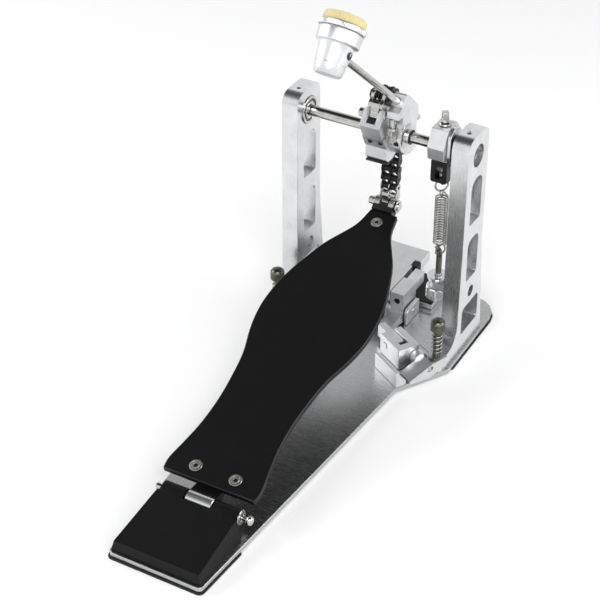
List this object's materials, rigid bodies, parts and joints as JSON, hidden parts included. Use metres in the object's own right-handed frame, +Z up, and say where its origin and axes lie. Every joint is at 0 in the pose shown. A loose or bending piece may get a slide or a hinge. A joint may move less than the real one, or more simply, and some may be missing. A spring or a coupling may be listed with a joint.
{
  "type": "bass drum pedal",
  "caption": "Single bass drum pedal: long footboard, chain-driven eccentric cam, two uprights, beater, return spring and hoop clamp on a base plate.",
  "frame": {"origin": "centre of the overall box at floor level", "axes": "+X to the drummer's right along the shaft, +Y from the heel to the drum, +Z up"},
  "size_m": [0.189, 0.4646, 0.3771],
  "materials": {
    "bright_aluminium": "bright, fine machined",
    "brushed_aluminium": "brushed",
    "polished_steel": "polished",
    "black_anodised": "satin black anodised",
    "black_steel": "blackened",
    "black_rubber": "matt",
    "cream_felt": "pressed felt"
  },
  "bodies": {
    "frame": {"base_plate": "brushed_aluminium", "heel_sole": "black_rubber", "front_sole": "black_rubber", "heel_block": "black_anodised", "hinge_pin": "polished_steel", "left_post": "bright_aluminium", "right_post": "bright_aluminium", "left_bearing_race": "polished_steel", "right_bearing_race": "polished_steel", "hoop_bed": "bright_aluminium", "hoop_bed_pad": "black_rubber", "adjuster_arm": "bright_aluminium", "arm_bolt": "polished_steel", "spring_eyebolt": "black_steel", "spring_lock_disc": "bright_aluminium", "left_spur_spring": "polished_steel", "right_spur_spring": "polished_steel", "clamp_housing": "bright_aluminium", "lever_pin": "polished_steel", "rocker_bracket": "bright_aluminium"},
    "pedal_board": {"footboard": "black_anodised", "footboard_bracket": "black_anodised", "heel_screw_left": "polished_steel", "heel_screw_right": "polished_steel", "toe_screw": "polished_steel", "toe_bracket": "black_steel", "toe_bolt": "polished_steel"},
    "axle": {"shaft": "polished_steel", "left_bearing_sleeve": "polished_steel", "right_bearing_sleeve": "polished_steel", "cam_wheel": "bright_aluminium", "cam_chain": "black_steel", "chain_clevis": "bright_aluminium", "clevis_bolt": "polished_steel", "rod_hub": "bright_aluminium", "rod_clamp_bolt": "polished_steel", "spring_collar": "bright_aluminium", "collar_bolt": "polished_steel", "collar_disc": "bright_aluminium"},
    "beater": {"beater_rod": "polished_steel", "beater_body": "bright_aluminium", "beater_ring": "bright_aluminium", "beater_face": "cream_felt", "beater_screw": "black_steel"},
    "link_one": {"chain_link_1": "black_steel"},
    "link_two": {"chain_link_2": "black_steel"},
    "link_three": {"chain_link_3": "black_steel"},
    "chain_strand": {"chain_run": "black_steel"},
    "yoke": {"spring_yoke": "black_steel"},
    "coil": {"spring": "polished_steel"},
    "coil_top": {"spring_hook": "polished_steel"},
    "tension_nut": {"spring_adjust_nut": "bright_aluminium"},
    "left_spur_screw": {"left_spur": "black_steel"},
    "right_spur_screw": {"right_spur": "black_steel"},
    "jaw_rocker": {"clamp_rocker": "bright_aluminium", "clamp_jaw": "bright_aluminium", "jaw_pad": "black_rubber"},
    "clamp_handle": {"clamp_lever": "bright_aluminium"},
    "clamp_fork": {"fork_block": "bright_aluminium", "clamp_link": "bright_aluminium"}
  },
  "joints": [
    {"name": "shaft_spin", "type": "hinge", "parent": "frame", "child": "axle", "pos_m": [0, 0.15725, 0.208], "axis": [-1, 0, 0], "range_deg": [0, 50], "stiffness_Nm_per_rad": 0.9, "springref_deg": -14.32},
    {"name": "pedal_hinge", "type": "hinge", "parent": "frame", "child": "pedal_board", "pos_m": [0, -0.15825, 0.02], "axis": [-1, 0, 0], "range_deg": [0, 3.65]},
    {"name": "beater_height", "type": "slide", "parent": "axle", "child": "beater", "axis": [0, -0.7581, 0.6521], "range_m": [-0.012, 0.012]},
    {"name": "chain_bend_1", "type": "hinge", "parent": "axle", "child": "link_one", "pos_m": [0, 0.1685, 0.23614], "axis": [-1, 0, 0], "range_deg": [-7.4, 0]},
    {"name": "chain_bend_2", "type": "hinge", "parent": "link_one", "child": "link_two", "pos_m": [0, 0.17408, 0.22925], "axis": [-1, 0, 0], "range_deg": [-17.1, 0]},
    {"name": "chain_bend_3", "type": "hinge", "parent": "link_two", "child": "link_three", "pos_m": [0, 0.17741, 0.22103], "axis": [-1, 0, 0], "range_deg": [-17.1, 0]},
    {"name": "toe_pivot", "type": "hinge", "parent": "pedal_board", "child": "chain_strand", "pos_m": [0, 0.17275, 0.1217], "axis": [-1, 0, 0], "range_deg": [-3.5, 0]},
    {"name": "yoke_hinge", "type": "hinge", "parent": "axle", "child": "yoke", "pos_m": [0.058, 0.15725, 0.19], "axis": [-1, 0, 0], "range_deg": [-57.7, 0]},
    {"name": "spring_swing", "type": "hinge", "parent": "frame", "child": "coil", "pos_m": [0.058, 0.16025, 0.095], "axis": [-1, 0, 0], "range_deg": [-7.7, 0]},
    {"name": "spring_stretch", "type": "slide", "parent": "coil", "child": "coil_top", "axis": [0, -0.0316, 0.9995], "range_m": [0, 0.0079], "deforming": ["spring"]},
    {"name": "tension_nut_spin", "type": "hinge", "parent": "frame", "child": "tension_nut", "pos_m": [0.058, 0.16025, 0.0533], "axis": [0, 0, 1], "continuous": true},
    {"name": "left_spur_travel", "type": "slide", "parent": "frame", "child": "left_spur_screw", "axis": [0, 0, 1], "range_m": [0, 0.008]},
    {"name": "right_spur_travel", "type": "slide", "parent": "frame", "child": "right_spur_screw", "axis": [0, 0, 1], "range_m": [0, 0.008]},
    {"name": "jaw_pivot", "type": "hinge", "parent": "frame", "child": "jaw_rocker", "pos_m": [0.02, 0.16725, 0.016], "axis": [-1, 0, 0], "range_deg": [0, 8]},
    {"name": "handle_pivot", "type": "hinge", "parent": "frame", "child": "clamp_handle", "pos_m": [0.0824, 0.09486, 0.0168], "axis": [-0.8558, 0.5173, 0], "range_deg": [0, 45]},
    {"name": "fork_slide", "type": "slide", "parent": "frame", "child": "clamp_fork", "axis": [-0.8558, 0.5173, 0], "range_m": [0, 0.0041]}
  ],
  "couplings": [
    {"joint": "pedal_hinge", "follows": "shaft_spin", "ratio": 0.0729},
    {"joint": "chain_bend_1", "follows": "shaft_spin", "ratio": -0.14568},
    {"joint": "chain_bend_2", "follows": "shaft_spin", "ratio": -0.34},
    {"joint": "chain_bend_3", "follows": "shaft_spin", "ratio": -0.34},
    {"joint": "toe_pivot", "follows": "shaft_spin", "ratio": -0.06861},
    {"joint": "yoke_hinge", "follows": "shaft_spin", "ratio": -1.1518},
    {"joint": "spring_swing", "follows": "shaft_spin", "ratio": -0.15178},
    {"joint": "spring_stretch", "follows": "shaft_spin", "m_per_rad": 0.008896},
    {"joint": "handle_pivot", "follows": "jaw_pivot", "ratio": 5.625},
    {"joint": "fork_slide", "follows": "jaw_pivot", "m_per_rad": 0.028648}
  ]
}
